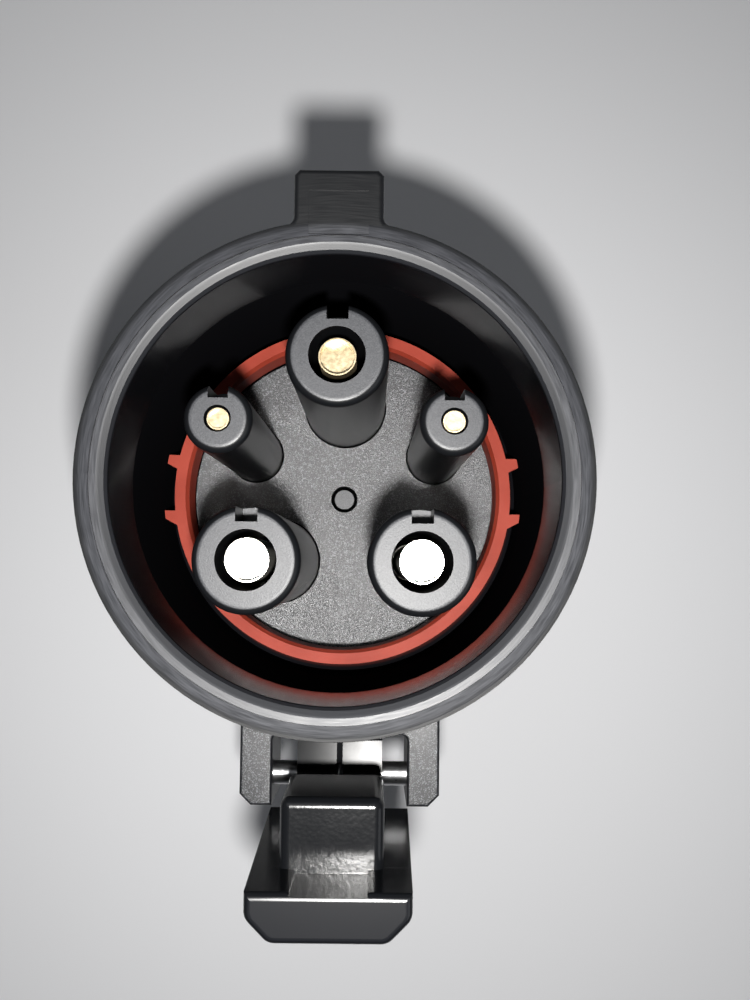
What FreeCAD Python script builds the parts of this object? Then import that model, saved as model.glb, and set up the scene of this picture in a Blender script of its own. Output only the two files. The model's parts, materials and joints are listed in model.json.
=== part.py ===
import FreeCAD, Part

import math
import os

# Charging adapter standing on its plug end: a five-pin round inlet faces up and a five-contact
# plug nose faces down. A spring lever sits in a fork on the -Y side and lies over the latch of
# the charging handle. Millimetres; +Z is the way the handle pulls out, the origin is on the
# nose's end face, and every Z height below is measured from that face.

V = FreeCAD.Vector
AXIS_X = V(1, 0, 0)
AXIS_Y = V(0, 1, 0)
AXIS_Z = V(0, 0, 1)

# Heights along the adapter
nose_length = 30.0
floor_height = 73.0
shroud_depth = 35.0
rim_height = floor_height + shroud_depth

# Shroud: the open tube that the handle's nose enters
mouth_radius = 22.3
mouth_draft = 0.15
shroud_wall = 3.4
shroud_outer_radius = mouth_radius + shroud_wall
rim_chamfer = 1.0
rim_round = 0.4
rim_step_from_mouth = 1.6
rim_step_radius = mouth_radius + rim_step_from_mouth
rim_step_width = 0.15
rim_step_drop = 0.25

# Well at the bottom of the shroud, and the cavity behind it
ledge_width = 2.7
well_radius = mouth_radius - ledge_width
ledge_above_floor = 6.0
seal_groove_depth = 4.0
floor_plate_thickness = 1.5
spigot_step = 2.7
spigot_wall = 1.8
spigot_radius = shroud_outer_radius - spigot_step
cavity_radius = spigot_radius - spigot_wall
shoulder_above_shell = 0.8
housing_skirt = 7.0
spigot_length = 8.0

# Latch side: a fork for the lever, a low catch for the handle's latch, and a lug opposite
fork_depth_below_rim = 30.0
fork_height = 12.0
fork_half_width = 12.5
fork_length = 13.0
fork_reach = shroud_outer_radius + fork_length
fork_chamfer = 1.4
fork_root_fillet = 3.0
slot_half_width = 8.45
fork_web = 4.2
slot_root_y = shroud_outer_radius + fork_web
slot_corner = 0.8
fork_edge_round = 0.35
catch_half_width = 4.7
catch_start_below_rim = 6.0
catch_crest_below_rim = 12.0
catch_back_below_rim = 14.0
catch_height = 1.7
catch_crest_radius = shroud_outer_radius + catch_height
lug_half_width = 4.5
lug_length = 5.1
lug_reach = shroud_outer_radius + lug_length
lug_thickness = 5.0
lug_round = 0.6
lug_corner = 0.55
lug_root_fillet = 0.9
witness_half_width = 3.0
witness_length = 2.9
witness_reach = shroud_outer_radius + witness_length
witness_depth = 0.12

# Seal ring with four centring tabs
seal_lip = 0.5
seal_flat_lip = 0.15
seal_flange = 1.15
seal_inner_radius = well_radius - seal_lip
seal_flat_radius = well_radius - seal_flat_lip
seal_outer_radius = well_radius + seal_flange
seal_face_above_ledge = 2.4
seal_bevel = 0.8
seal_skirt = 2.6
seal_clearance = 0.05
tab_places = (-2.6, 4.3)
tab_tip_width = 0.9
tab_root_width = 1.9
tab_wall_gap = 0.1

# Contact tubes: position, outer radius, bore radius and pin radius of each kind
line_x = 8.65
line_y = -8.2
line_tube_radius = 5.4
line_tube_bore = 3.05
line_pin_radius = 2.2
ground_y = 12.2
ground_tube_radius = 5.2
ground_tube_bore = 2.87
ground_pin_radius = 1.9
signal_x = 11.7
signal_y = 5.7
signal_tube_radius = 3.45
signal_tube_bore = 1.35
signal_pin_radius = 1.1
tube_recess = 0.8
tube_edge_round = 0.85
power_pin_recess = 1.1
signal_pin_recess = 0.4
power_pin_cup = 1.6
signal_pin_cup = 0.6
pin_cup_wall = 0.15
pin_foot_extra = 0.2
pin_foot_height = 0.5
keyway_half_width = 1.1
signal_keyway_half_width = 1.0
keyway_wall = 0.7
keyway_length = 6.0
tube_clearance = 0.2

# Contact carrier and its clamping plate
carrier_clearance = 0.2
carrier_radius = cavity_radius - carrier_clearance
carrier_thickness = 8.0
centre_post_radius = 1.27
centre_hole_radius = 1.75
centre_post_drop = 0.5
collar_extra = 1.0
collar_height = 2.0
press_gap = 0.03
clamp_plate_thickness = 3.0
clamp_screw_circle = 16.5
clamp_screw_angles = (-90.0, 60.0, 120.0)
clamp_screw_radius = 1.2
clamp_screw_grip = 6.0
clamp_screw_head_radius = 2.2
clamp_screw_head_height = 1.6
pin_tail = 5.0

# Rear shell: a superellipse section that grows and rounds from the nose end to the housing
# Each row: share of the shell's length, how far the half width and the half depth lie inside the
# shroud's outer radius, and the exponent (2 is an ellipse, more is squarer)
shell_wall = 2.4
shell_back_thickness = 4.0
shell_sections = (
    (0.0, 4.1, 6.5, 2.6),
    (0.08, 3.3, 5.7, 2.6),
    (0.34, 2.7, 4.3, 2.4),
    (0.62, 1.3, 1.9, 2.15),
    (0.82, 0.3, 0.4, 2.0),
    (1.0, 0.0, 0.0, 2.0),
)
section_points = 24
grip_groove_count = 5
grip_groove_pitch = 3.6
grip_groove_width = 1.4
grip_groove_depth = 0.7
grip_groove_start = 8.0
grip_half_depth = 10.5
rib_angles = (30.0, 150.0, 210.0, 330.0)
rib_thickness = 2.4
rib_reach = 4.2
rib_drop = 12.0
snap_angles = (45.0, 135.0, 225.0, 315.0)
snap_width = 7.0
snap_height = 2.4
snap_depth = 0.9
snap_clearance = 0.2
spigot_clearance = 0.1

# Plug nose: outline of two wide circles on the -Y side and two narrow ones on the +Y side
nose_wide_x = 7.6
nose_wide_y = -4.0
nose_wide_radius = 8.2
nose_narrow_x = 5.6
nose_narrow_y = 5.4
nose_narrow_radius = 6.2
nose_edge_chamfer = 1.0
nose_fit_gap = 0.15
flange_thickness = 3.0
flange_extra = 1.2
flange_screw_places = ((0.0, -14.6), (13.0, 9.5), (-13.0, 9.5))
flange_ear_radius = 2.6
flange_screw_radius = 1.0
flange_screw_head_radius = 1.8
flange_screw_head_height = 1.3
flange_screw_grip = 3.0

# Female contacts in the nose: place, bore, wall and mouth clearance
line_socket_x = 8.4
line_socket_y = -3.6
line_socket_bore = 4.0
line_socket_wall = 0.8
ground_socket_y = 5.0
ground_socket_bore = 2.6
ground_socket_wall = 0.7
signal_socket_x = 7.0
signal_socket_y = 7.0
signal_socket_bore = 1.25
signal_socket_wall = 0.6
socket_lip = 1.5
socket_lip_gap = 0.3
socket_depth = 24.0
socket_stud_radius = 2.0
signal_stud_radius = 1.0
socket_stud_share = 0.43

# Copper links and signal leads between the inlet pins and the plug contacts
link_thickness = 1.4
link_width = 7.0
link_overhang = 1.3
line_link_y = -12.6
ground_link_y = 16.0
lead_radius = 0.8
lead_bend = 2.4

# Lever, its pin and its torsion spring
pivot_from_shroud = 9.5
pivot_below_fork_top = 3.2
pivot_y = -shroud_outer_radius - pivot_from_shroud
lever_pin_radius = 1.5
pivot_clearance = 0.05
lever_pin_end = 0.3
barrel_radius = 3.4
lever_root_half_width = 8.6
lever_tip_half_width = 7.9
lever_behind_pivot = 3.9
lever_thickness = 4.7
lever_inner_y = pivot_y - lever_behind_pivot
lever_outer_y = lever_inner_y - lever_thickness
lever_tip_above_rim = 2.0
lever_root_above_pivot = 2.2
lever_corner_chamfer = 2.3
lever_corner_round = 1.6
lever_edge_round = 0.7
column_half_width = 5.3
column_behind_pivot = 2.2
column_inner_y = pivot_y - column_behind_pivot
heel_gap = 0.3
heel_below_pivot = 0.5
heel_above_pivot = 2.8
heel_edge_round = 0.5
heel_groove = 0.75
heel_groove_depth = 0.9
pad_from_shroud = 6.4
pad_inner_y = -shroud_outer_radius - pad_from_shroud
pad_top_below_rim = 5.5
pad_height = 11.5
pad_round = 1.0
channel_half_width = 3.7
channel_depth = 0.4
spring_wire_radius = 0.4
spring_coil_radius = 2.35
spring_pitch = 0.95
spring_turns = 3.25
spring_gap_half_width = 2.9
spring_hole_radius = 0.55
spring_leg_bite = 1.2
spring_leg_reach = 4.2
spring_room = 0.25

# Heights worked out from the values above
ledge_height = floor_height + ledge_above_floor
seal_face_height = ledge_height + seal_face_above_ledge
plate_under = floor_height - floor_plate_thickness
carrier_under = plate_under - carrier_thickness
clamp_under = carrier_under - clamp_plate_thickness
shoulder_height = floor_height - housing_skirt
shell_top = shoulder_height - shoulder_above_shell
spigot_end = shoulder_height - spigot_length
fork_top = rim_height - fork_depth_below_rim
fork_bottom = fork_top - fork_height
pivot_height = fork_top - pivot_below_fork_top
lever_root_height = pivot_height + lever_root_above_pivot
tube_top = rim_height - tube_recess
pin_bottom = clamp_under - pin_tail
shell_inside = nose_length + shell_back_thickness
flange_top = shell_inside + flange_thickness
lever_tip = rim_height + lever_tip_above_rim
stud_top = flange_top + socket_stud_share * (pin_bottom - flange_top)

# The three kinds of tube, then the five circuits: name, tube place, kind of tube
line_tube = {
    "outer": line_tube_radius,
    "bore": line_tube_bore,
    "pin": line_pin_radius,
    "key": keyway_half_width,
    "recess": power_pin_recess,
    "cup": power_pin_cup,
}
ground_tube = {
    "outer": ground_tube_radius,
    "bore": ground_tube_bore,
    "pin": ground_pin_radius,
    "key": keyway_half_width,
    "recess": power_pin_recess,
    "cup": power_pin_cup,
}
signal_tube = {
    "outer": signal_tube_radius,
    "bore": signal_tube_bore,
    "pin": signal_pin_radius,
    "key": signal_keyway_half_width,
    "recess": signal_pin_recess,
    "cup": signal_pin_cup,
}
circuits = (
    ("line_1", (-line_x, line_y), line_tube),
    ("line_2", (line_x, line_y), line_tube),
    ("ground", (0.0, ground_y), ground_tube),
    ("pilot", (-signal_x, signal_y), signal_tube),
    ("proximity", (signal_x, signal_y), signal_tube),
)
# The plug's contacts: radii of bore and stud and the wall between, then name, place and kind
line_socket = (line_socket_bore, line_socket_wall, socket_stud_radius)
ground_socket = (ground_socket_bore, ground_socket_wall, socket_stud_radius)
signal_socket = (signal_socket_bore, signal_socket_wall, signal_stud_radius)
sockets = (
    ("line_1", (-line_socket_x, line_socket_y), line_socket),
    ("line_2", (line_socket_x, line_socket_y), line_socket),
    ("ground", (0.0, ground_socket_y), ground_socket),
    ("pilot", (-signal_socket_x, signal_socket_y), signal_socket),
    ("proximity", (signal_socket_x, signal_socket_y), signal_socket),
)


def rod(radius, low, high, place=(0.0, 0.0)):
    """Upright cylinder between two heights."""
    return Part.makeCylinder(radius, high - low, V(place[0], place[1], low), AXIS_Z)


def cross_rod(radius, half_width, y, z):
    """Cylinder along X, centred on the middle plane."""
    return Part.makeCylinder(radius, 2 * half_width, V(-half_width, y, z), AXIS_X)


def block(low_x, high_x, low_y, high_y, low_z, high_z):
    """Box between two corners."""
    return Part.makeBox(high_x - low_x, high_y - low_y, high_z - low_z, V(low_x, low_y, low_z))


def turned(profile):
    """Solid turned about Z from a closed list of (radius, height) points."""
    points = [V(radius, 0, height) for radius, height in profile]
    face = Part.Face(Part.makePolygon(points + points[:1]))
    return face.revolve(V(0, 0, 0), AXIS_Z, 360)


def side_plate(profile, half_width):
    """Solid of a closed list of (y, z) points, extruded to both sides of the middle plane."""
    points = [V(-half_width, y, z) for y, z in profile]
    face = Part.Face(Part.makePolygon(points + points[:1]))
    return face.extrude(V(2 * half_width, 0, 0))


def plan_plate(profile, low, high):
    """Solid of a closed list of (x, y) points, extruded between two heights."""
    points = [V(x, y, low) for x, y in profile]
    face = Part.Face(Part.makePolygon(points + points[:1]))
    return face.extrude(V(0, 0, high - low))


def edges_where(shape, test):
    """Edges whose middle point passes the test."""
    found = []
    for edge in shape.Edges:
        middle = edge.valueAt((edge.FirstParameter + edge.LastParameter) / 2)
        if test(edge, middle):
            found.append(edge)
    return found


def is_upright(edge):
    """True for a straight edge along Z."""
    if not isinstance(edge.Curve, Part.Line):
        return False
    return abs(edge.Curve.Direction.z) > 0.999


def bracket(side, half_width, reach, root_round, corner, low, high):
    """Plate standing out of the shroud along Y, filleted into its outer wall."""
    centre_x = half_width + root_round
    centre_y = math.sqrt((shroud_outer_radius + root_round) ** 2 - centre_x ** 2)
    centre = V(centre_x, centre_y, low)
    on_wall = V(centre_x, centre_y, 0) * (shroud_outer_radius / (shroud_outer_radius + root_round))
    on_wall.z = low
    on_flank = V(half_width, centre_y, low)
    bulge = (on_wall + on_flank) / 2 - centre
    on_arc = centre + bulge.normalize() * root_round
    core_radius = mouth_radius + rim_chamfer
    on_core = V(centre_x, centre_y, 0) * (core_radius / (shroud_outer_radius + root_round))
    right = (
        V(on_core.x, on_core.y, low),
        on_wall,
        on_arc,
        on_flank,
        V(half_width, reach - corner, low),
        V(half_width - corner, reach, low),
    )
    place = [V(point.x, side * point.y, low) for point in right]
    mirrored = [V(-point.x, point.y, low) for point in place]
    edges = [
        Part.LineSegment(place[0], place[1]).toShape(),
        Part.Arc(place[1], place[2], place[3]).toShape(),
        Part.LineSegment(place[3], place[4]).toShape(),
        Part.LineSegment(place[4], place[5]).toShape(),
        Part.LineSegment(place[5], mirrored[5]).toShape(),
        Part.LineSegment(mirrored[5], mirrored[4]).toShape(),
        Part.LineSegment(mirrored[4], mirrored[3]).toShape(),
        Part.Arc(mirrored[3], mirrored[2], mirrored[1]).toShape(),
        Part.LineSegment(mirrored[1], mirrored[0]).toShape(),
        Part.Arc(mirrored[0], V(0, side * core_radius, low), place[0]).toShape(),
    ]
    return Part.Face(Part.Wire(edges)).extrude(V(0, 0, high - low))


def hull_outline(circles, grow, height):
    """Closed wire round circles given anticlockwise, joined by straight tangents."""
    grown = [(V(x, y, height), radius + grow) for x, y, radius in circles]
    tangents = []
    for index, (start, start_radius) in enumerate(grown):
        end, end_radius = grown[(index + 1) % len(grown)]
        along = end - start
        lean = math.asin((start_radius - end_radius) / along.Length)
        heading = math.atan2(along.y, along.x) - math.pi / 2 + lean
        normal = V(math.cos(heading), math.sin(heading), 0)
        tangents.append((start + normal * start_radius, end + normal * end_radius, normal))
    edges = []
    for index, (leave, arrive, normal) in enumerate(tangents):
        centre, radius = grown[(index + 1) % len(grown)]
        next_leave, _, next_normal = tangents[(index + 1) % len(tangents)]
        between = (normal + next_normal).normalize()
        edges.append(Part.LineSegment(leave, arrive).toShape())
        edges.append(Part.Arc(arrive, centre + between * radius, next_leave).toShape())
    return Part.Wire(edges)


def hull_plate(circles, grow, low, high):
    """Plate of a hull outline between two heights."""
    return Part.Face(hull_outline(circles, grow, low)).extrude(V(0, 0, high - low))


def around(shape, angles):
    """Copies of a shape, turned about Z by each angle."""
    copies = []
    for angle in angles:
        copy = shape.copy()
        copy.rotate(V(0, 0, 0), AXIS_Z, angle)
        copies.append(copy)
    return copies


def export(name, shape):
    """Writes one sub-part and reports it."""
    if not shape.isValid():
        print("not valid:", name)
    shape.exportStep("parts/" + name + ".step")
    print(name, "solids", len(shape.Solids), "volume", round(shape.Volume, 1))


nose_circles = (
    (-nose_wide_x, nose_wide_y, nose_wide_radius),
    (nose_wide_x, nose_wide_y, nose_wide_radius),
    (nose_narrow_x, nose_narrow_y, nose_narrow_radius),
    (-nose_narrow_x, nose_narrow_y, nose_narrow_radius),
)


# Inlet housing: shroud, ledge, spigot, fork, catch and lug in one moulding


def shroud():
    """The turned body of the housing, with its stepped rim."""
    wall_at_floor = mouth_radius - mouth_draft
    groove_floor = ledge_height - seal_groove_depth
    step_end = rim_step_radius + rim_step_width
    round_top = shroud_outer_radius - rim_round
    profile = (
        (well_radius, plate_under),
        (well_radius, ledge_height),
        (seal_outer_radius, ledge_height),
        (seal_outer_radius, groove_floor),
        (wall_at_floor, groove_floor),
        (mouth_radius, rim_height - rim_chamfer),
        (mouth_radius + rim_chamfer * 0.3, rim_height - rim_chamfer * 0.3),
        (mouth_radius + rim_chamfer, rim_height),
        (rim_step_radius, rim_height),
        (rim_step_radius, rim_height - rim_step_drop),
        (step_end, rim_height - rim_step_drop),
        (step_end, rim_height),
        (round_top, rim_height - rim_step_drop),
        (shroud_outer_radius - rim_round * 0.3, rim_height - rim_round * 0.7),
        (shroud_outer_radius, rim_height - 2 * rim_round),
        (shroud_outer_radius, shoulder_height),
        (spigot_radius, shoulder_height),
        (spigot_radius, spigot_end),
        (cavity_radius, spigot_end),
        (cavity_radius, plate_under),
    )
    return turned(profile)


def fork():
    """Flat-topped bracket with two ears, on the latch side."""
    body = bracket(
        -1,
        fork_half_width,
        fork_reach,
        fork_root_fillet,
        fork_chamfer,
        fork_bottom,
        fork_top,
    )
    slot = block(
        -slot_half_width,
        slot_half_width,
        -fork_reach - 5,
        -slot_root_y,
        fork_bottom - 1,
        fork_top + 1,
    )
    slot_root = edges_where(slot, lambda edge, middle: is_upright(edge) and middle.y > -slot_root_y - 1)
    body = body.cut(slot.makeFillet(slot_corner, slot_root))
    top = edges_where(
        body,
        lambda edge, middle: abs(middle.z - fork_top) < 0.01 and middle.y < -shroud_outer_radius - 1,
    )
    return body.makeFillet(fork_edge_round, top)


def latch_catch():
    """Low wedge on the outside of the shroud that the handle's latch hooks behind."""
    start = rim_height - catch_start_below_rim
    crest = rim_height - catch_crest_below_rim
    back = rim_height - catch_back_below_rim
    inside = -(mouth_radius + shroud_outer_radius) / 2
    profile = (
        (inside, start),
        (-shroud_outer_radius, start),
        (-catch_crest_radius, crest),
        (-catch_crest_radius, back),
        (inside, back),
    )
    return side_plate(profile, catch_half_width)


def strap_lug():
    """Lug on the rim, opposite the fork."""
    low = rim_height - lug_thickness
    lug = bracket(
        1,
        lug_half_width,
        lug_reach,
        lug_root_fillet,
        lug_corner,
        low,
        rim_height - rim_step_drop,
    )
    front = edges_where(
        lug,
        lambda edge, middle: middle.z > rim_height - rim_step_drop - 0.01
        and middle.y > shroud_outer_radius + lug_root_fillet,
    )
    return lug.makeFillet(lug_round, front)


def snap_hooks():
    """Barbs on the spigot that click into the shell."""
    high = spigot_end + 1.0 + snap_height
    profile = (
        (spigot_radius - 0.5, spigot_end + 1.0),
        (spigot_radius, spigot_end + 1.0),
        (spigot_radius + snap_depth, high - 0.8),
        (spigot_radius + snap_depth, high),
        (spigot_radius - 0.5, high),
    )
    hook = side_plate(profile, snap_width / 2)
    return around(hook, snap_angles)


def inlet_housing():
    """All the features of the front moulding."""
    body = shroud().multiFuse([fork(), latch_catch(), strap_lug()] + snap_hooks())
    pin_hole = cross_rod(lever_pin_radius + press_gap, fork_half_width + 1, pivot_y, pivot_height)
    leg_hole = Part.makeCylinder(
        spring_hole_radius,
        spring_leg_bite + 1,
        V(-spring_half_span(), -slot_root_y - 1, leg_height()),
        AXIS_Y,
    )
    witness = block(
        -witness_half_width,
        witness_half_width,
        rim_step_radius + rim_step_width,
        witness_reach,
        rim_height - rim_step_drop - witness_depth,
        rim_height + 1,
    )
    return body.cut(pin_hole).cut(leg_hole).cut(witness).removeSplitter()


# Seal, floor plate, carrier and clamp plate


def seal_ring():
    """Soft ring with a skirt into the well and four tabs out to the wall."""
    skirt_outer = well_radius - seal_clearance
    profile = (
        (seal_inner_radius, ledge_height - seal_skirt),
        (skirt_outer, ledge_height - seal_skirt),
        (skirt_outer, ledge_height),
        (seal_outer_radius, ledge_height),
        (seal_outer_radius, seal_face_height),
        (seal_flat_radius, seal_face_height),
        (seal_inner_radius, seal_face_height - seal_bevel),
    )
    ring = turned(profile)
    tip_x = mouth_radius - mouth_draft - tab_wall_gap
    root_x = seal_outer_radius - 0.6
    tabs = []
    for side in (-1, 1):
        for centre_y in tab_places:
            straight = centre_y + tab_tip_width / 2
            outline = (
                (side * root_x, straight),
                (side * tip_x, straight),
                (side * tip_x, straight - tab_tip_width),
                (side * root_x, straight - tab_root_width),
            )
            tabs.append(plan_plate(outline, ledge_height, seal_face_height))
    limit = rod(tip_x, ledge_height - seal_skirt - 1, seal_face_height + 1)
    return ring.multiFuse(tabs).common(limit).removeSplitter()


def floor_plate():
    """Grained disc that the contact tubes stand through."""
    plate = rod(well_radius - seal_clearance, plate_under, floor_height)
    holes = [rod(centre_hole_radius, plate_under - 1, floor_height + 1)]
    for _, place, tube in circuits:
        holes.append(rod(tube["outer"] + tube_clearance, plate_under - 1, floor_height + 1, place))
    return plate.cut(Part.makeCompound(holes))


def contact_tube(place, tube):
    """One insulating tube with its rounded mouth and keyway, still without its bore."""
    outer = tube["outer"]
    body = rod(outer, plate_under - 1, tube_top, place)
    rim = edges_where(body, lambda edge, middle: abs(middle.z - tube_top) < 0.01)
    body = body.makeFillet(tube_edge_round, rim)
    keyway = block(
        place[0] - tube["key"],
        place[0] + tube["key"],
        place[1] + tube["bore"] + keyway_wall,
        place[1] + outer + 1,
        tube_top - keyway_length,
        tube_top + 1,
    )
    return body.cut(keyway)


def contact_carrier():
    """Disc with five tubes and a centre post, drilled for the pins."""
    disc = rod(carrier_radius, carrier_under, plate_under)
    post = rod(centre_post_radius, plate_under - 1, floor_height - centre_post_drop)
    tubes = [contact_tube(place, tube) for _, place, tube in circuits]
    body = disc.multiFuse(tubes + [post])
    drills = []
    for _, place, tube in circuits:
        hole = foot_radius(tube) + press_gap
        drills.append(rod(tube["bore"], plate_under, tube_top + 1, place))
        drills.append(rod(hole, carrier_under - 1, plate_under + 1, place))
        drills.append(rod(hole + collar_extra, carrier_under - 1, carrier_under + collar_height, place))
    for place in clamp_screw_places():
        drills.append(
            rod(clamp_screw_radius + press_gap, carrier_under - 1, carrier_under + clamp_screw_grip, place)
        )
    return body.cut(Part.makeCompound(drills))


def clamp_screw_places():
    """Where the three carrier screws stand."""
    places = []
    for angle in clamp_screw_angles:
        turn = math.radians(angle)
        places.append((clamp_screw_circle * math.cos(turn), clamp_screw_circle * math.sin(turn)))
    return places


def clamp_plate():
    """Plate behind the carrier that holds the pins by their collars."""
    plate = rod(carrier_radius, clamp_under, carrier_under)
    holes = []
    for _, place, tube in circuits:
        holes.append(rod(foot_radius(tube) + press_gap, clamp_under - 1, carrier_under + 1, place))
    for place in clamp_screw_places():
        holes.append(rod(clamp_screw_radius + press_gap, clamp_under - 1, carrier_under + 1, place))
    return plate.cut(Part.makeCompound(holes))


def clamp_screws():
    """Three screws that hold the clamp plate to the carrier."""
    screws = []
    for place in clamp_screw_places():
        shank = rod(clamp_screw_radius, clamp_under - 0.1, carrier_under + clamp_screw_grip - 0.5, place)
        head = rod(clamp_screw_head_radius, clamp_under - clamp_screw_head_height, clamp_under, place)
        slot = block(
            place[0] - clamp_screw_head_radius,
            place[0] + clamp_screw_head_radius,
            place[1] - 0.3,
            place[1] + 0.3,
            clamp_under - clamp_screw_head_height - 1,
            clamp_under - clamp_screw_head_height + 0.7,
        )
        screws.append(head.fuse(shank).cut(slot))
    return Part.makeCompound(screws)


def foot_radius(tube):
    """Radius of the thicker foot that each pin has inside the carrier."""
    return tube["pin"] + pin_foot_extra


def contact_pin(place, tube):
    """Turned pin with a thicker foot, a collar and a shallow cup in its tip."""
    radius = tube["pin"]
    foot = foot_radius(tube)
    foot_top = plate_under + pin_foot_height
    pin_top = tube_top - tube["recess"]
    shank = rod(radius, foot_top - 1, pin_top, place)
    tail = rod(foot, pin_bottom, foot_top, place)
    collar = rod(foot + collar_extra, carrier_under, carrier_under + collar_height - press_gap, place)
    cup = rod(radius - pin_cup_wall, pin_top - tube["cup"], pin_top + 1, place)
    return tail.multiFuse([shank, collar]).removeSplitter().cut(cup)


# Rear shell and joint seal


def superellipse(height, half_width, half_depth, exponent):
    """Closed smooth wire of a superellipse at a height."""
    points = []
    for index in range(section_points):
        turn = 2 * math.pi * index / section_points
        cosine = math.cos(turn)
        sine = math.sin(turn)
        x = half_width * math.copysign(abs(cosine) ** (2 / exponent), cosine)
        y = half_depth * math.copysign(abs(sine) ** (2 / exponent), sine)
        points.append(V(x, y, height))
    curve = Part.BSplineCurve()
    curve.interpolate(Points=points, PeriodicFlag=True)
    return Part.Wire([curve.toShape()])


def shell_loft(inset, low, high):
    """Loft through the shell's sections, drawn in by a wall, then trimmed between two heights."""
    wires = []
    outer = shroud_outer_radius - inset
    for share, side_inset, back_inset, exponent in shell_sections:
        height = nose_length + share * (shell_top - nose_length)
        wires.append(superellipse(height, outer - side_inset, outer - back_inset, exponent))
    body = Part.makeLoft(wires, True, False)
    reach = 2 * shroud_outer_radius
    return body.common(block(-reach, reach, -reach, reach, low, high))


def grip_grooves():
    """Short grooves down both flanks."""
    low = nose_length + grip_groove_start
    high = low + grip_groove_count * grip_groove_pitch
    skin = shell_loft(-1.0, low, high).cut(shell_loft(grip_groove_depth, low - 1, high + 1))
    reach = 2 * shroud_outer_radius
    grooves = []
    for index in range(grip_groove_count):
        start = low + index * grip_groove_pitch
        end = start + grip_groove_width
        slice_box = block(-reach, reach, -grip_half_depth, grip_half_depth, start, end)
        grooves.append(skin.common(slice_box))
    return grooves


def clamp_ribs():
    """Ribs inside the shell, stepped to pass the spigot, that hold the clamp plate up."""
    inner = carrier_radius - rib_reach
    step = cavity_radius - 2 * spigot_clearance
    low = spigot_end - rib_drop
    shelf = spigot_end - 2 * spigot_clearance
    foot = block(inner, shroud_outer_radius, -rib_thickness / 2, rib_thickness / 2, low, shelf)
    head = block(inner, step, -rib_thickness / 2, rib_thickness / 2, low, clamp_under)
    return around(foot.fuse(head), rib_angles)


def rear_shell():
    """Cup that joins the nose to the inlet housing."""
    body = shell_loft(0.0, nose_length, shell_top)
    cavity = shell_loft(shell_wall, shell_inside, spigot_end + 0.5)
    seat = rod(spigot_radius + spigot_clearance, spigot_end, shell_top + 1)
    opening = hull_plate(nose_circles, nose_fit_gap, nose_length - 1, shell_inside + 1)
    body = body.cut(cavity).cut(seat).cut(opening)
    skin = shell_loft(shell_wall / 2, nose_length, shell_top)
    ribs = [rib.common(skin) for rib in clamp_ribs()]
    body = body.multiFuse(ribs)
    pocket_low = spigot_end + 1.0 - snap_clearance
    pocket_high = spigot_end + 1.0 + snap_height + snap_clearance
    pocket = block(
        spigot_radius - 1.0,
        spigot_radius + snap_depth + snap_clearance,
        -snap_width / 2 - snap_clearance,
        snap_width / 2 + snap_clearance,
        pocket_low,
        pocket_high,
    )
    cuts = around(pocket, snap_angles) + grip_grooves()
    for place in flange_screw_places:
        cuts.append(
            rod(flange_screw_radius + press_gap, shell_inside - flange_screw_grip, shell_inside + 1, place)
        )
    return body.cut(Part.makeCompound(cuts))


def joint_gasket():
    """Flat ring pinched between the housing's shoulder and the shell."""
    outer = shroud_outer_radius - 0.3
    inner = spigot_radius + spigot_clearance
    return turned(
        (
            (inner, shell_top),
            (outer, shell_top),
            (outer, shoulder_height),
            (inner, shoulder_height),
        )
    )


# Plug nose, its contacts and screws


def flange_circles():
    """Three screw ears of the nose's flange, anticlockwise."""
    return tuple((x, y, flange_ear_radius) for x, y in flange_screw_places)


def plug_nose():
    """Nose with five contact chambers and a flange inside the shell."""
    nose = hull_plate(nose_circles, 0.0, 0.0, shell_inside + 1)
    front = edges_where(nose, lambda edge, middle: abs(middle.z) < 0.01)
    nose = nose.makeChamfer(nose_edge_chamfer, front)
    flange = hull_plate(nose_circles, flange_extra, shell_inside, flange_top)
    ears = hull_plate(flange_circles(), 0.0, shell_inside, flange_top)
    body = nose.multiFuse([flange, ears])
    drills = []
    for _, place, (bore, wall, stud) in sockets:
        drills.append(rod(bore + socket_lip_gap, -1, socket_lip + 1, place))
        drills.append(rod(bore + wall + press_gap, socket_lip, flange_top - 1.5, place))
        drills.append(rod(stud + press_gap, flange_top - 2, flange_top + 1, place))
    for place in flange_screw_places:
        drills.append(rod(flange_screw_radius + press_gap, shell_inside - 1, flange_top + 1, place))
    return body.cut(Part.makeCompound(drills))


def plug_contact(place, socket):
    """Turned female contact with a stud behind it."""
    bore, wall, stud = socket
    barrel = rod(bore + wall, socket_lip, flange_top - 1.5 - press_gap, place)
    drill = rod(bore, socket_lip - 1, socket_lip + socket_depth, place)
    return barrel.cut(drill).fuse(rod(stud, flange_top - 2, stud_top, place)).removeSplitter()


def flange_screws():
    """Three screws from the flange into the shell's back wall."""
    screws = []
    for place in flange_screw_places:
        shank = rod(flange_screw_radius, shell_inside - flange_screw_grip + 0.3, flange_top + 0.1, place)
        head = rod(
            flange_screw_head_radius,
            flange_top,
            flange_top + flange_screw_head_height,
            place,
        )
        slot = block(
            place[0] - flange_screw_head_radius,
            place[0] + flange_screw_head_radius,
            place[1] - 0.25,
            place[1] + 0.25,
            flange_top + flange_screw_head_height - 0.6,
            flange_top + flange_screw_head_height + 1,
        )
        screws.append(head.fuse(shank).cut(slot))
    return Part.makeCompound(screws)


# Conductors inside the shell


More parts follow.
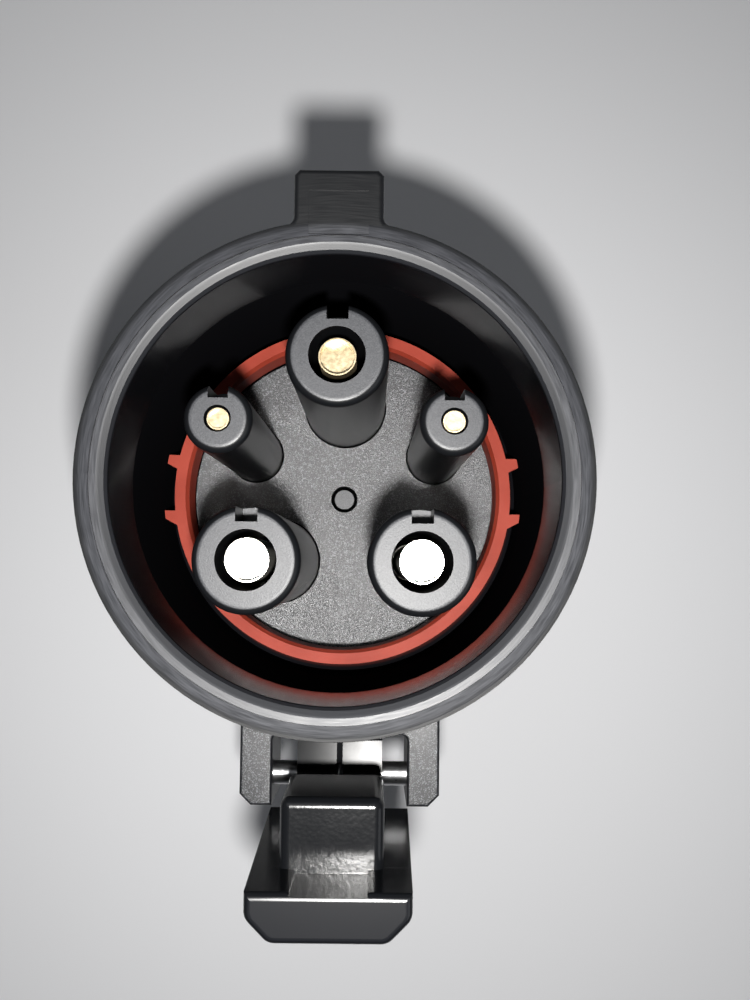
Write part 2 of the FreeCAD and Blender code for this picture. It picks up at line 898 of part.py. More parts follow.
def strap(web_y, inner_pin, inner_stud, pin_place, stud_place):
    """Copper strap: an eye on the pin's tail, a web and an eye on the contact's stud."""
    outward = math.copysign(1.0, web_y)
    upper = pin_bottom + 0.5
    lower = stud_top - 0.5 - link_thickness
    web_near = web_y - outward * link_thickness
    reach_pin = pin_place[1] - outward * (inner_pin + link_overhang)
    reach_stud = stud_place[1] - outward * (inner_stud + link_overhang)
    middle_x = (pin_place[0] + stud_place[0]) / 2
    half = link_width / 2
    tabs = (
        (web_y, reach_pin, upper, upper + link_thickness),
        (web_y, reach_stud, lower, lower + link_thickness),
        (web_y, web_near, lower, upper + link_thickness),
    )
    pieces = []
    for side_a, side_b, low, high in tabs:
        pieces.append(
            block(middle_x - half, middle_x + half, min(side_a, side_b), max(side_a, side_b), low, high)
        )
    body = pieces[0].multiFuse(pieces[1:]).removeSplitter()
    bends = edges_where(
        body,
        lambda edge, middle: isinstance(edge.Curve, Part.Line)
        and abs(edge.Curve.Direction.x) > 0.999
        and abs(middle.y - web_y) < 0.01,
    )
    body = body.makeFillet(link_thickness * 0.9, bends)
    pin_hole = rod(inner_pin + press_gap, upper - 1, upper + link_thickness + 1, pin_place)
    stud_hole = rod(inner_stud + press_gap, lower - 1, lower + link_thickness + 1, stud_place)
    return body.cut(pin_hole).cut(stud_hole)


def signal_lead(pin_place, stud_place):
    """Short insulated lead, straight off both ends with tangent bends between."""
    top = V(pin_place[0], pin_place[1], pin_bottom)
    bottom = V(stud_place[0], stud_place[1], stud_top)
    drop = (top.z - bottom.z) / 3
    bend_high = top - AXIS_Z * drop
    bend_low = bottom + AXIS_Z * drop
    slant = (bend_low - bend_high).normalize()
    turn = math.acos(-slant.z)
    trim = min(lead_bend * math.tan(turn / 2), drop / 2)
    high_start = bend_high + AXIS_Z * trim
    high_end = bend_high + slant * trim
    low_start = bend_low - slant * trim
    low_end = bend_low - AXIS_Z * trim
    middle_high = (high_start + high_end) / 2
    middle_low = (low_start + low_end) / 2
    sagitta = lead_bend * (1 - math.cos(turn / 2))
    arc_high = middle_high + (bend_high - middle_high).normalize() * sagitta
    arc_low = middle_low + (bend_low - middle_low).normalize() * sagitta
    path = Part.Wire(
        [
            Part.LineSegment(top, high_start).toShape(),
            Part.Arc(high_start, arc_high, high_end).toShape(),
            Part.LineSegment(high_end, low_start).toShape(),
            Part.Arc(low_start, arc_low, low_end).toShape(),
            Part.LineSegment(low_end, bottom).toShape(),
        ]
    )
    section = Part.Wire([Part.makeCircle(lead_radius, top, AXIS_Z)])
    return path.makePipeShell([section], True, True)


# Lever, pin and spring


def spring_half_span():
    """Half the length of the coil along the pin."""
    return spring_pitch * spring_turns / 2


def spring_gap_radius():
    """Radius of the room that the lever leaves for the coil."""
    return spring_coil_radius + spring_wire_radius + spring_room


def leg_height():
    """Height of the spring leg that rests in the housing."""
    return pivot_height - spring_coil_radius


def lever_arm():
    """Plate of the lever above its root, tapering to the tip, with chamfered outer corners."""
    outline = (
        (-lever_root_half_width, lever_root_height),
        (lever_root_half_width, lever_root_height),
        (lever_tip_half_width, lever_tip),
        (-lever_tip_half_width, lever_tip),
    )
    points = [V(x, lever_outer_y, z) for x, z in outline]
    face = Part.Face(Part.makePolygon(points + points[:1]))
    arm = face.extrude(V(0, lever_inner_y - lever_outer_y, 0))
    corners = edges_where(
        arm,
        lambda edge, middle: abs(middle.y - lever_outer_y) < 0.01 and abs(middle.x) > channel_half_width,
    )
    arm = arm.makeChamfer(lever_corner_chamfer, corners)
    ridges = edges_where(
        arm,
        lambda edge, middle: edge.Length > lever_tip - lever_root_height - 1
        and middle.y < lever_inner_y - lever_edge_round,
    )
    arm = arm.makeFillet(lever_corner_round, ridges)
    tip = edges_where(arm, lambda edge, middle: abs(middle.z - lever_tip) < 0.01)
    return arm.makeFillet(lever_edge_round, tip)


def lever_column():
    """Heel, column and hooked pad, drawn from the side, behind the plate."""
    heel_y = -slot_root_y - heel_gap
    pad_top = rim_height - pad_top_below_rim
    barrel_top = pivot_height + barrel_radius
    profile = (
        (heel_y, pivot_height - heel_below_pivot),
        (heel_y, pivot_height + heel_above_pivot),
        (pivot_y + 0.5, barrel_top),
        (pivot_y - 0.5, barrel_top),
        (column_inner_y, barrel_top - 0.6),
        (column_inner_y, pad_top - pad_height - 6.0),
        (pad_inner_y, pad_top - pad_height),
        (pad_inner_y, pad_top),
        (lever_inner_y - 1.0, pad_top),
        (lever_outer_y + lever_edge_round, lever_root_height + 4.0),
        (lever_outer_y + lever_edge_round, lever_root_height + 1.0),
        (pivot_y - barrel_radius * 0.8, pivot_height - barrel_radius * 0.6),
        (pivot_y, pivot_height - barrel_radius),
    )
    column = side_plate(profile, column_half_width)
    soft = edges_where(
        column,
        lambda edge, middle: middle.y > pad_inner_y - 0.01
        and middle.z > pad_top - pad_height + 0.01
        or (abs(middle.z - pad_top) < 0.01 and abs(middle.x) > column_half_width - 0.01),
    )
    column = column.makeFillet(pad_round, soft)
    heel_top = pivot_height + heel_above_pivot
    heel_edge = edges_where(
        column,
        lambda edge, middle: abs(middle.y - heel_y) < 0.01 and middle.z > heel_top - 0.01,
    )
    return column.makeFillet(heel_edge_round, heel_edge)


def lock_lever():
    """The lever in one moulding, drilled for its pin and slotted for the spring."""
    barrel = cross_rod(barrel_radius, column_half_width, pivot_y, pivot_height)
    body = lever_arm().multiFuse([lever_column(), barrel]).removeSplitter()
    channel = block(
        -channel_half_width,
        channel_half_width,
        lever_inner_y - channel_depth,
        lever_inner_y + 1,
        rim_height - pad_top_below_rim + 0.05,
        lever_tip + 1,
    )
    groove = block(
        -heel_groove / 2,
        heel_groove / 2,
        column_inner_y,
        -slot_root_y,
        pivot_height + barrel_radius - heel_groove_depth,
        pivot_height + barrel_radius + 2.0,
    )
    pin_hole = cross_rod(
        lever_pin_radius + pivot_clearance,
        column_half_width + 1,
        pivot_y,
        pivot_height,
    )
    coil_room = cross_rod(spring_gap_radius(), spring_gap_half_width, pivot_y, pivot_height)
    way_in = block(
        -spring_gap_half_width,
        spring_gap_half_width,
        pivot_y - spring_gap_radius(),
        -slot_root_y,
        pivot_height - barrel_radius - 1,
        pivot_height + heel_below_pivot,
    )
    leg_hole = rod(
        spring_hole_radius,
        pivot_height,
        pivot_height + spring_leg_reach,
        (spring_half_span(), pivot_y - spring_coil_radius),
    )
    for room in (channel, groove, pin_hole, coil_room, way_in, leg_hole):
        body = body.cut(room)
    return body


def lever_pin():
    """Steel pin through both ears, with small chamfers."""
    half = fork_half_width - lever_pin_end
    pin = cross_rod(lever_pin_radius, half, pivot_y, pivot_height)
    ends = edges_where(pin, lambda edge, middle: abs(abs(middle.x) - half) < 0.01)
    return pin.makeChamfer(0.25, ends)


def lever_spring():
    """Torsion spring round the pin: one leg in the housing, the other up into the lever."""
    half = spring_half_span()
    helix = Part.makeHelix(spring_pitch, 2 * half, spring_coil_radius, 0, True)
    section = Part.Wire([Part.makeCircle(spring_wire_radius, V(spring_coil_radius, 0, 0), AXIS_Y)])
    coil = Part.Wire(helix.Edges).makePipeShell([section], True, True)
    coil.rotate(V(0, 0, 0), AXIS_Y, 90)
    coil.translate(V(-half, pivot_y, pivot_height))
    fixed_end = -slot_root_y + spring_leg_bite
    fixed_leg = Part.makeCylinder(
        spring_wire_radius,
        fixed_end - pivot_y,
        V(-half, pivot_y, leg_height()),
        AXIS_Y,
    )
    moving_leg = rod(
        spring_wire_radius,
        pivot_height,
        pivot_height + spring_leg_reach - 0.3,
        (half, pivot_y - spring_coil_radius),
    )
    return coil.multiFuse([fixed_leg, moving_leg])


os.makedirs("parts", exist_ok=True)

export("inlet_housing", inlet_housing())
export("seal_ring", seal_ring())
export("floor_plate", floor_plate())
export("contact_carrier", contact_carrier())
export("clamp_plate", clamp_plate())
export("clamp_screws", clamp_screws())
for name, place, tube in circuits:
    export(name + "_pin", contact_pin(place, tube))
export("rear_shell", rear_shell())
export("joint_gasket", joint_gasket())
export("plug_nose", plug_nose())
for name, place, socket in sockets:
    export(name + "_socket", plug_contact(place, socket))
export("flange_screws", flange_screws())
for (name, pin_place, tube), (_, stud_place, socket) in zip(circuits, sockets):
    if tube is signal_tube:
        export(name + "_lead", signal_lead(pin_place, stud_place))
    else:
        web_y = ground_link_y if tube is ground_tube else line_link_y
        export(name + "_link", strap(web_y, foot_radius(tube), socket[2], pin_place, stud_place))
export("lock_lever", lock_lever())
export("lever_pin", lever_pin())
export("lever_spring", lever_spring())
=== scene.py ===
import json
import math

import bpy
from mathutils import Matrix, Vector


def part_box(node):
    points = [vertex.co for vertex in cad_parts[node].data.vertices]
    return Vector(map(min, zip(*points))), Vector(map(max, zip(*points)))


# An adapter that stands on its plug end on white paper, lit by a lamp beside the lens. Its solids carry
# the shape, and this scene gives each of them its plastic, silicone or metal. Lengths are in metres.

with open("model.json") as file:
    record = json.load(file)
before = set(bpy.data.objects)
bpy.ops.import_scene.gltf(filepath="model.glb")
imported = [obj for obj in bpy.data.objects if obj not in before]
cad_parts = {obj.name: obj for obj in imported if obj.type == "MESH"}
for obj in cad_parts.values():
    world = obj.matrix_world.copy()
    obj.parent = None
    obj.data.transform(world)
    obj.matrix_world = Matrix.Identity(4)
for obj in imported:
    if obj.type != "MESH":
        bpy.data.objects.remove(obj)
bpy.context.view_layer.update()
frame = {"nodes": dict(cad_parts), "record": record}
nodes = frame["nodes"]
mm = 0.001
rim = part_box("inlet_housing")[1].z  # height of the shroud's rim
mouth = 22.3 * mm  # radius of the shroud's mouth
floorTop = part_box("floor_plate")[1].z  # height of the grained floor inside the shroud
print("frame loaded:", len(nodes), "nodes")


# Colours and nodes

def hexToLinear(code):  # sRGB hex to linear: c/12.92 below 0.04045, else ((c+0.055)/1.055)^2.4
    channels = [int(code[i:i + 2], 16) / 255 for i in (1, 3, 5)]
    return tuple(c / 12.92 if c <= 0.04045 else ((c + 0.055) / 1.055) ** 2.4 for c in channels) + (1.0,)


def feed(tree, socket, value):  # a number or vector, a hex colour, or another node's output
    if isinstance(value, bpy.types.NodeSocket):
        tree.links.new(value, socket)
    else:
        socket.default_value = hexToLinear(value) if isinstance(value, str) else value


def addNode(tree, kind, settings=None, inputs=None):  # adds one node with its settings and its inputs
    node = tree.nodes.new(kind)
    for key, value in (settings or {}).items():
        setattr(node, key, value)
    for key, value in (inputs or {}).items():
        feed(tree, node.inputs[key], value)
    return node


def startMaterial(name):  # an empty Principled material and the coordinates that ride with the object
    material = bpy.data.materials.new(name)
    material.use_nodes = True
    tree = material.node_tree
    tree.nodes.clear()
    shader = addNode(tree, "ShaderNodeBsdfPrincipled")
    addNode(tree, "ShaderNodeOutputMaterial", inputs={"Surface": shader.outputs[0]})
    place = addNode(tree, "ShaderNodeTexCoord").outputs["Object"]
    return material, tree, shader, place


def ramp(tree, source, low, high):  # 0 at low, 1 at high, straight between
    limits = {"Value": source, "From Min": low, "From Max": high}
    return addNode(tree, "ShaderNodeMapRange", {}, limits).outputs[0]


def band(tree, source, start, spanMm):  # a ramp over two distances in mm, counted from a place
    return ramp(tree, source, start + spanMm[0] * mm, start + spanMm[1] * mm)


def combine(tree, kind, first, second):  # one maths step of two values
    return addNode(tree, "ShaderNodeMath", {"operation": kind}, {0: first, 1: second}).outputs[0]


def mixColour(tree, share, first, second):  # colours as hex codes or sockets
    return addNode(tree, "ShaderNodeMix", {"data_type": "RGBA"}, {0: share, 6: first, 7: second}).outputs[2]


def mixValue(tree, share, first, second):  # first at share 0, second at share 1
    return addNode(tree, "ShaderNodeMix", {"data_type": "FLOAT"}, {0: share, 2: first, 3: second}).outputs[0]


def noise(tree, place, sizeMm, detail=2.0):  # soft noise whose lumps are about this wide
    inputs = {"Scale": 1 / (sizeMm * mm), "Detail": detail, "Vector": place}
    return addNode(tree, "ShaderNodeTexNoise", {}, inputs).outputs["Fac"]


def paintedGlints(tree, place, sizeMm, share):  # 1 in a share of small cells, picked by each cell's random value: where painted glints go into a colour
    cells = addNode(tree, "ShaderNodeTexVoronoi", {}, {"Scale": 1 / (sizeMm * mm), "Vector": place})
    chance = addNode(tree, "ShaderNodeSeparateColor", {}, {0: cells.outputs["Color"]}).outputs[0]
    return ramp(tree, chance, 1 - share, 1 - share * 0.5)


def splitPlace(tree, place):  # the three coordinates
    return addNode(tree, "ShaderNodeSeparateXYZ", {}, {0: place}).outputs


def aroundAxis(tree, x, y):  # distance from the adapter's middle line, and the turn round it
    flat = addNode(tree, "ShaderNodeCombineXYZ", {}, {0: x, 1: y}).outputs[0]
    radius = addNode(tree, "ShaderNodeVectorMath", {"operation": "LENGTH"}, {0: flat}).outputs["Value"]
    return radius, combine(tree, "ARCTAN2", y, x)


def facingUp(tree, low, high):  # 0 to 1 as the face's upward share grows from low to high
    normal = addNode(tree, "ShaderNodeNewGeometry").outputs["Normal"]
    return ramp(tree, splitPlace(tree, normal)[2], low, high)


def finishSurface(tree, shader, colour, rough, height, bumpMm, strength=1.0):
    feed(tree, shader.inputs["Base Color"], colour)
    feed(tree, shader.inputs["Roughness"], rough)
    relief = {"Strength": strength, "Distance": bumpMm * mm, "Height": height}
    bump = addNode(tree, "ShaderNodeBump", {}, relief)
    tree.links.new(bump.outputs[0], shader.inputs["Normal"])


# Plastics and metals

def mouldedPlastic(name, look):  # satin moulding: faint flow in the colour, fine grain breaks the shine
    material, tree, shader, place = startMaterial(name)
    grain = noise(tree, place, look["grainMm"])
    flow = ramp(tree, noise(tree, place, look["flowMm"], 3.0), 0.3, 0.7)
    colour = mixColour(tree, flow, look["dark"], look["light"])
    rough = mixValue(tree, grain, *look["rough"])
    finishSurface(tree, shader, colour, rough, grain, look["bumpMm"], look["bump"])
    return material


housingLook = {
    "wall": "#0b0b0d", "wallRough": 0.13, "wallGloss": (0.0, 0.16),
    "glossMm": (-11, -6),  # the wall's shine grows from the first height to the second, from the rim
    "ledge": "#4b2019", "ledgeMm": (-0.5, -1.6),  # painted reflection: the seal's red light is painted on the ledge inside the mouth's radius
    "boreMm": (0.12, 0.02),  # where the bore ends and the lip starts, from the mouth's radius
    "lip": "#1d1e21", "lipRough": 0.44, "lipGloss": 0.2, "lipMm": (0.75, 1.05),  # where the lip ends
    "rim": "#26272a", "rimStreak": "#3a3b3f", "rimRough": (0.36, 0.5), "rimMm": (-1.2, -0.6),
    "rimEdgePaintedShade": "#0c0d0f", "edgeShadeMm": (2.5, 3.1),  # where the painted shade on the rim's rounded outer edge starts
    "streakTurns": 9, "streakMm": 0.16, "streakRelief": 0.35,
    "streakShow": (0.35, 0.75), "streakWear": (0.3, 0.7),  # range of the noise used for colour, and for shine
    "out": "#121316", "outRough": 0.36, "outGloss": 0.35,
    # the fork's glint colour is a painted highlight: lighter cells in its grain's colour
    "fork": "#131417", "forkRough": 0.33, "forkMm": (-26.2, -26.6), "paintedGlint": "#5a5c60", "paintedGlintShare": 0.25,
    "grainMm": 0.1, "bumpMm": 0.04, "bump": 0.6,
    "levelUp": (0.9, 0.99), "raisedUp": (0.6, 0.9),  # upward share of level faces, and of the rounded rim
}


def makeHousingPlastic(look):  # moulded nylon: polished bore, satin lip, drawn streaks on the rim, grained fork with painted glints; painted shade on the rim's outer edge and a painted red reflection of the seal on the ledge
    material, tree, shader, place = startMaterial("nylonHousingMoulded")
    x, y, z = splitPlace(tree, place)
    radius, turn = aroundAxis(tree, x, y)
    level = facingUp(tree, *look["levelUp"])
    raised = facingUp(tree, *look["raisedUp"])

    # Masks of the regions
    inBore = band(tree, radius, mouth, look["boreMm"])
    pastLip = band(tree, radius, mouth, look["lipMm"])
    # painted shade on the rim's rounded outer edge
    paintedEdgeShade = band(tree, radius, mouth, look["edgeShadeMm"])
    onRim = combine(tree, "MULTIPLY", raised, band(tree, z, rim, look["rimMm"]))
    onFork = combine(tree, "MULTIPLY", band(tree, y, 0, look["forkMm"]), level)
    # where the seal's red reflection is painted on the ledge
    paintedReflectionMask = combine(tree, "MULTIPLY", band(tree, radius, mouth, look["ledgeMm"]), level)

    # Streaks run round the rim: narrow across it and long along it
    across = combine(tree, "DIVIDE", radius, look["streakMm"] * mm)
    along = combine(tree, "MULTIPLY", turn, look["streakTurns"])
    ring = addNode(tree, "ShaderNodeCombineXYZ", {}, {0: across, 1: along}).outputs[0]
    streakInputs = {"Scale": 1.0, "Detail": 3.0, "Vector": ring}
    streak = addNode(tree, "ShaderNodeTexNoise", {}, streakInputs).outputs["Fac"]
    grain = noise(tree, place, look["grainMm"])

    # Colour, from the outside in
    drawn = mixColour(tree, ramp(tree, streak, *look["streakShow"]), look["rim"], look["rimStreak"])
    # painted shade darkens the rim's rounded outer edge
    streaked = mixColour(tree, paintedEdgeShade, drawn, look["rimEdgePaintedShade"])
    # painted glints on the fork's grain
    paintedSparkle = paintedGlints(tree, place, look["grainMm"], look["paintedGlintShare"])
    forkWithPaintedGlints = mixColour(tree, paintedSparkle, look["fork"], look["paintedGlint"])
    below = mixColour(tree, onFork, look["out"], forkWithPaintedGlints)
    outside = mixColour(tree, onRim, below, streaked)
    lipped = mixColour(tree, pastLip, look["lip"], outside)
    # painted reflection: the seal's red light painted on the ledge
    boreColour = mixColour(tree, paintedReflectionMask, look["wall"], look["ledge"])
    colour = mixColour(tree, inBore, lipped, boreColour)

    # Roughness and shine, in the same order
    rimRough = mixValue(tree, ramp(tree, streak, *look["streakWear"]), *look["rimRough"])
    satin = mixValue(tree, onRim, look["outRough"], rimRough)
    outRough = mixValue(tree, onFork, satin, look["forkRough"])
    lipRough = mixValue(tree, pastLip, look["lipRough"], outRough)
    rough = mixValue(tree, inBore, lipRough, look["wallRough"])
    wallGloss = mixValue(tree, band(tree, z, rim, look["glossMm"]), *look["wallGloss"])
    lipGloss = mixValue(tree, pastLip, look["lipGloss"], look["outGloss"])
    feed(tree, shader.inputs["Specular IOR Level"], mixValue(tree, inBore, lipGloss, wallGloss))

    # Relief: streaks outside, grain on the fork, a flat value in the bore
    relief = mixValue(tree, onFork, combine(tree, "MULTIPLY", streak, look["streakRelief"]), grain)
    height = mixValue(tree, inBore, relief, 0.5)
    finishSurface(tree, shader, colour, rough, height, look["bumpMm"], look["bump"])
    return material


# the glint colours below are painted highlights, put into the grain's colour
floorLook = {
    "grainMm": 0.11, "coarseMm": 0.5, "dark": "#121316", "light": "#242528", "paintedGlint": "#58595c",
    "paintedGlintShare": 0.25, "rough": (0.27, 0.38), "bumpMm": 0.06, "bump": 0.9,
}
shellLook = {
    "grainMm": 0.2, "coarseMm": 0.7, "dark": "#1a1b1d", "light": "#26272a", "paintedGlint": "#3a3b3e",
    "paintedGlintShare": 0.1, "rough": (0.36, 0.52), "bumpMm": 0.04, "bump": 0.9,
}


def makeSparkGrain(name, look):  # spark-eroded mould surface: a crisp grain, with painted glints in its colour standing in for the near lamp's sparkle
    material, tree, shader, place = startMaterial(name)
    cells = addNode(tree, "ShaderNodeTexVoronoi", {}, {"Scale": 1 / (look["grainMm"] * mm), "Vector": place})
    fine = noise(tree, place, look["grainMm"] * 0.8, 3.0)
    coarse = noise(tree, place, look["coarseMm"])
    height = mixValue(tree, 0.5, cells.outputs["Distance"], fine)
    mottle = mixColour(tree, ramp(tree, fine, 0.35, 0.7), look["dark"], look["light"])
    # painted glints: lighter cells that stand in for the lamp's sparkle
    paintedSparkle = paintedGlints(tree, place, look["grainMm"] * 1.1, look["paintedGlintShare"])
    colour = mixColour(tree, paintedSparkle, mottle, look["paintedGlint"])
    rough = mixValue(tree, coarse, *look["rough"])
    finishSurface(tree, shader, colour, rough, height, look["bumpMm"], look["bump"])
    return material


tubeLook = {
    "side": "#0b0c0e", "face": "#2b2c2f", "lightFace": "#3b3c3f", "gapPaintedShade": "#020202",
    "gapShadeMm": (-1.2, -0.9),  # painted shade: the clearance rings are painted black and lose their shine this far below the floor
    "sideRough": 0.3, "faceRough": 0.46, "gloss": 0.35, "grainMm": 0.13, "bumpMm": 0.03, "bump": 0.5,
    "levelUp": (0.93, 0.985),  # upward share from which a face counts as an end face
}


def makeTubePlastic(look):  # moulded nylon: near-black sides, frosted end faces, and painted shade that blackens the clearance rings
    material, tree, shader, place = startMaterial("nylonTubeMoulded")
    lit = band(tree, splitPlace(tree, place)[2], floorTop, look["gapShadeMm"])
    face = combine(tree, "MULTIPLY", facingUp(tree, *look["levelUp"]), lit)
    grain = noise(tree, place, look["grainMm"])
    mottle = mixColour(tree, ramp(tree, grain, 0.35, 0.7), look["face"], look["lightFace"])
    above = mixColour(tree, face, look["side"], mottle)
    # painted shade: black in the clearance rings below the floor
    colour = mixColour(tree, lit, look["gapPaintedShade"], above)
    rough = mixValue(tree, face, look["sideRough"], look["faceRough"])
    feed(tree, shader.inputs["Specular IOR Level"], mixValue(tree, lit, 0.0, look["gloss"]))
    height = combine(tree, "MULTIPLY", grain, face)
    finishSurface(tree, shader, colour, rough, height, look["bumpMm"], look["bump"])
    return material


leverLook = {
    "colour": "#0c0d0f", "rough": (0.14, 0.22), "wearMm": 3.0, "gloss": 0.45,
    "tip": "#101114", "tipRough": 0.28, "tipMm": (0.5, 1.5),  # the tip's end face, from the rim's height
    "padTop": 102.5 * mm, "padFromMm": (-1.1, -0.7), "padToMm": (0.3, 0.1),  # heights that hold the pad's end
    "peelMm": 0.45, "peelBumpMm": 0.02, "bump": 0.6,
    "innerMm": (-39.9, -39.3), "sideGloss": 0.03,  # steep faces beyond this y are dull, towards the shroud
    "heelBelowMm": (84, 82), "heelMm": (-34.8, -34.4),  # the heel is dull too, below this z and beyond this y
    "tipUp": (0.8, 0.95), "steepUp": (0.5, 0.25),
}


def makeLeverPlastic(look):  # glossy moulding: orange peel on the pad, satin tip, dull inner sides and heel
    material, tree, shader, place = startMaterial("polycarbonateMouldedGloss")
    _, y, z = splitPlace(tree, place)
    abovePad = band(tree, z, look["padTop"], look["padFromMm"])
    onPad = combine(tree, "MULTIPLY", abovePad, band(tree, z, look["padTop"], look["padToMm"]))
    peel = combine(tree, "MULTIPLY", noise(tree, place, look["peelMm"], 1.0), onPad)
    worn = mixValue(tree, noise(tree, place, look["wearMm"], 4.0), *look["rough"])
    atTip = combine(tree, "MULTIPLY", band(tree, z, rim, look["tipMm"]), facingUp(tree, *look["tipUp"]))
    inward = combine(tree, "MULTIPLY", band(tree, y, 0, look["innerMm"]), facingUp(tree, *look["steepUp"]))
    heel = combine(tree, "MULTIPLY", band(tree, z, 0, look["heelBelowMm"]), band(tree, y, 0, look["heelMm"]))
    dulled = combine(tree, "MAXIMUM", inward, heel)
    feed(tree, shader.inputs["Specular IOR Level"], mixValue(tree, dulled, look["gloss"], look["sideGloss"]))
    colour = mixColour(tree, atTip, look["colour"], look["tip"])
    rough = mixValue(tree, atTip, worn, look["tipRough"])
    finishSurface(tree, shader, colour, rough, peel, look["peelBumpMm"], look["bump"])
    return material


sealLook = {
    "grainMm": 0.25, "flowMm": 5, "dark": "#75291c", "light": "#823225", "rough": (0.5, 0.62), "gloss": 0.12,
    "bumpMm": 0.02, "bump": 0.4, "under": 0.08, "underColour": (1.0, 0.3, 0.2), "underMm": 0.4,
}


def makeSilicone(name, look):  # soft pigment that lets a little light under the skin, dulled by handling
    material, tree, shader, place = startMaterial(name)
    grain = noise(tree, place, look["grainMm"])
    flow = ramp(tree, noise(tree, place, look["flowMm"], 3.0), 0.3, 0.7)
    colour = mixColour(tree, flow, look["dark"], look["light"])
    rough = mixValue(tree, grain, *look["rough"])
    finishSurface(tree, shader, colour, rough, grain, look["bumpMm"], look["bump"])
    shader.inputs["Specular IOR Level"].default_value = look["gloss"]
    shader.inputs["Subsurface Weight"].default_value = look["under"]
    shader.inputs["Subsurface Radius"].default_value = look["underColour"]
    shader.inputs["Subsurface Scale"].default_value = look["underMm"] * mm
    return material


metalRelief = {"bumpMm": 0.02, "bump": 0.3}


def turnedMetal(name, look):  # plated or bare turned metal: faint cloudy marks in the colour and the shine
    material, tree, shader, place = startMaterial(name)
    grain = noise(tree, place, look["grainMm"], 3.0)
    colour = mixColour(tree, grain, look["dark"], look["light"])
    rough = mixValue(tree, grain, *look["rough"])
    shader.inputs["Metallic"].default_value = 1.0
    finishSurface(tree, shader, colour, rough, grain, metalRelief["bumpMm"], metalRelief["bump"])
    return material


satinLook = {
    "grainMm": 0.2, "flowMm": 7, "dark": "#1c1d20", "light": "#222326", "rough": (0.34, 0.46),
    "bumpMm": 0.03, "bump": 0.4,
}
gasketLook = dict(satinLook, dark="#0e0e0f", light="#131314")
metals = {
    "silver_contact": {"grainMm": 0.5, "dark": "#d0cdc4", "light": "#efece4", "rough": (0.22, 0.36)},
    "pale_contact": {"grainMm": 0.4, "dark": "#c2ad84", "light": "#ddceb0", "rough": (0.24, 0.38)},
    "copper": {"grainMm": 0.5, "dark": "#a5623c", "light": "#c98158", "rough": (0.3, 0.45)},
    "steel": {"grainMm": 0.4, "dark": "#8d8e90", "light": "#b4b5b7", "rough": (0.24, 0.36)},
}
finishes = {  # one material for each of the record's material slots
    "housing": makeHousingPlastic(housingLook),
    "grained_floor": makeSparkGrain("nylonSparkEroded", floorLook),
    "contact_block": makeTubePlastic(tubeLook),
    "shell": makeSparkGrain("nylonShellGrained", shellLook),
    "nose": mouldedPlastic("nylonNoseMoulded", satinLook),
    "lever": makeLeverPlastic(leverLook),
    "seal": makeSilicone("siliconeMoulded", sealLook),
    "gasket": mouldedPlastic("rubberSheetCut", gasketLook),
    "lead_cover": mouldedPlastic("wireCoverExtruded", satinLook),
}
for slotName, metalLook in metals.items():
    finishes[slotName] = turnedMetal(slotName.replace("_", "") + "Turned", metalLook)

for part in frame["record"]["subparts"]:
    node = nodes[part["node"]]
    node.data.materials.clear()
    node.data.materials.append(finishes[part["material_slot"]])
print("materials done")


# Floor, camera and lights

paperLook = {"colour": "#dcdde0", "rough": 0.9, "gloss": 0.2, "halfWidth": 2.0}


def makeFloor(look):  # plain white paper, matt
    half = look["halfWidth"]
    corners = [(-half, -half, 0), (half, -half, 0), (half, half, 0), (-half, half, 0)]
    mesh = bpy.data.meshes.new("paperFloor")
    mesh.from_pydata(corners, [], [(0, 1, 2, 3)])
    floor = bpy.data.objects.new("paperFloor", mesh)
    bpy.context.collection.objects.link(floor)
    material, _, shader, _ = startMaterial("paperSheet")
    shader.inputs["Base Color"].default_value = hexToLinear(look["colour"])
    shader.inputs["Roughness"].default_value = look["rough"]
    shader.inputs["Specular IOR Level"].default_value = look["gloss"]
    mesh.materials.append(material)


makeFloor(paperLook)

cameraSetup = {
    "placeMm": (3.6, -8.4, 205.0),
    "down": (-4.2, -63.5, -1000.0),  # the world's down, in the camera's own axes
    "turnDeg": 0.7,  # how far the world's +Y leans from the picture's upright
    "lensMm": 36, "sensorMm": 36, "nearestMm": 10,
}


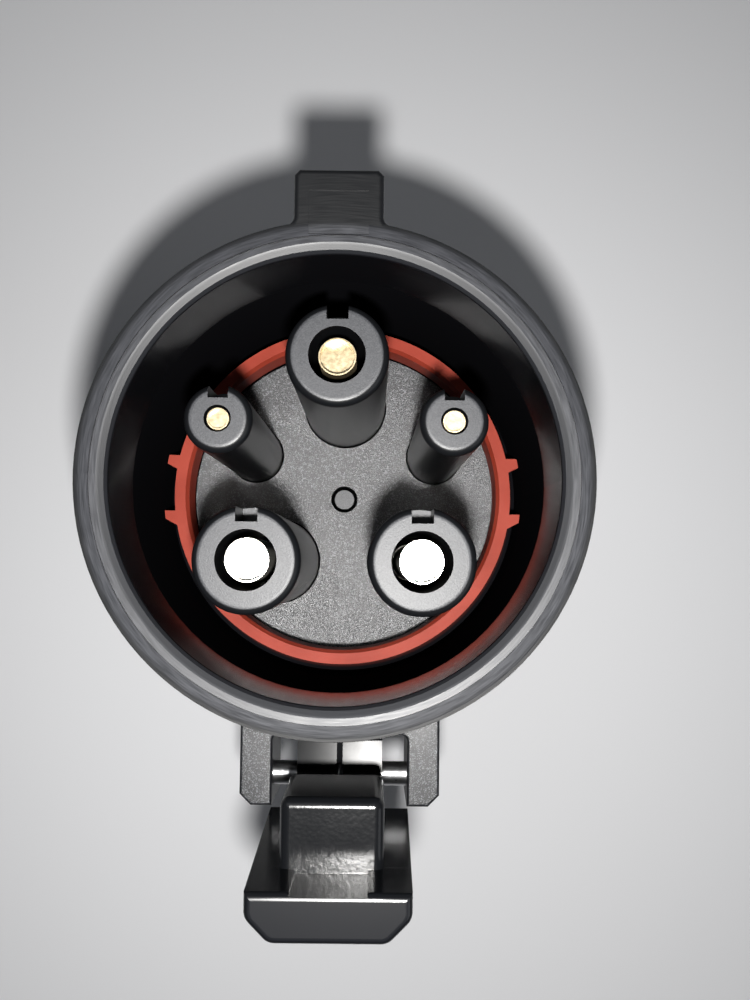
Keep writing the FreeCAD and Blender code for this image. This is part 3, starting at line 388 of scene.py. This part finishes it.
def makeCamera(setup):
    up = -Vector(setup["down"]).normalized()
    turn = math.radians(setup["turnDeg"])
    north = Vector((math.sin(turn), math.cos(turn), 0))
    north = (north - up * north.dot(up)).normalized()
    east = north.cross(up)
    toWorld = Matrix((east, north, up))  # rows: the world's three axes, in the camera's own axes
    data = bpy.data.cameras.new("camera")
    data.lens = setup["lensMm"]
    data.sensor_width = setup["sensorMm"]
    data.clip_start = setup["nearestMm"] * mm
    camera = bpy.data.objects.new("camera", data)
    camera.matrix_world = Matrix.Translation(Vector(setup["placeMm"]) * mm) @ toWorld.to_4x4()
    bpy.context.collection.objects.link(camera)
    bpy.context.scene.camera = camera


makeCamera(cameraSetup)

daylight = (0.95, 0.97, 1.0)
lamps = {  # place and aim in metres, width of the disc in metres, watts
    "phoneLamp": {
        "place": (0.0040, -0.0222, 0.207), "aim": (0.0, 0.0, 0.0), "size": 0.007, "watts": 0.43,
        "colour": (1.0, 0.985, 0.96),
    },
    "ceiling": {
        "place": (-0.30, 0.40, 0.90), "aim": (0, 0, 0.05), "size": 0.8, "watts": 0.75, "colour": daylight,
    },
    "windowSide": {
        "place": (0.65, -0.35, 0.45), "aim": (0, 0, 0.06), "size": 0.5, "watts": 0.5, "colour": daylight,
    },
}
for name, lampSetup in lamps.items():
    data = bpy.data.lights.new(name, "AREA")
    data.shape = "DISK"
    data.size = lampSetup["size"]
    data.energy = lampSetup["watts"]
    data.color = lampSetup["colour"]
    lamp = bpy.data.objects.new(name, data)
    direction = Vector(lampSetup["aim"]) - Vector(lampSetup["place"])
    lamp.rotation_mode = "QUATERNION"
    lamp.rotation_quaternion = direction.to_track_quat("-Z", "Y")
    lamp.location = lampSetup["place"]
    bpy.context.collection.objects.link(lamp)

room = {"colour": "#c8cacf", "strength": 0.045}  # weak light from all sides, so the shadow keeps its depth
world = bpy.data.worlds.new("room")
world.use_nodes = True
background = world.node_tree.nodes["Background"]
background.inputs[0].default_value = hexToLinear(room["colour"])
background.inputs[1].default_value = room["strength"]
bpy.context.scene.world = world
bpy.context.scene.view_settings.view_transform = "Standard"
print("stage done")
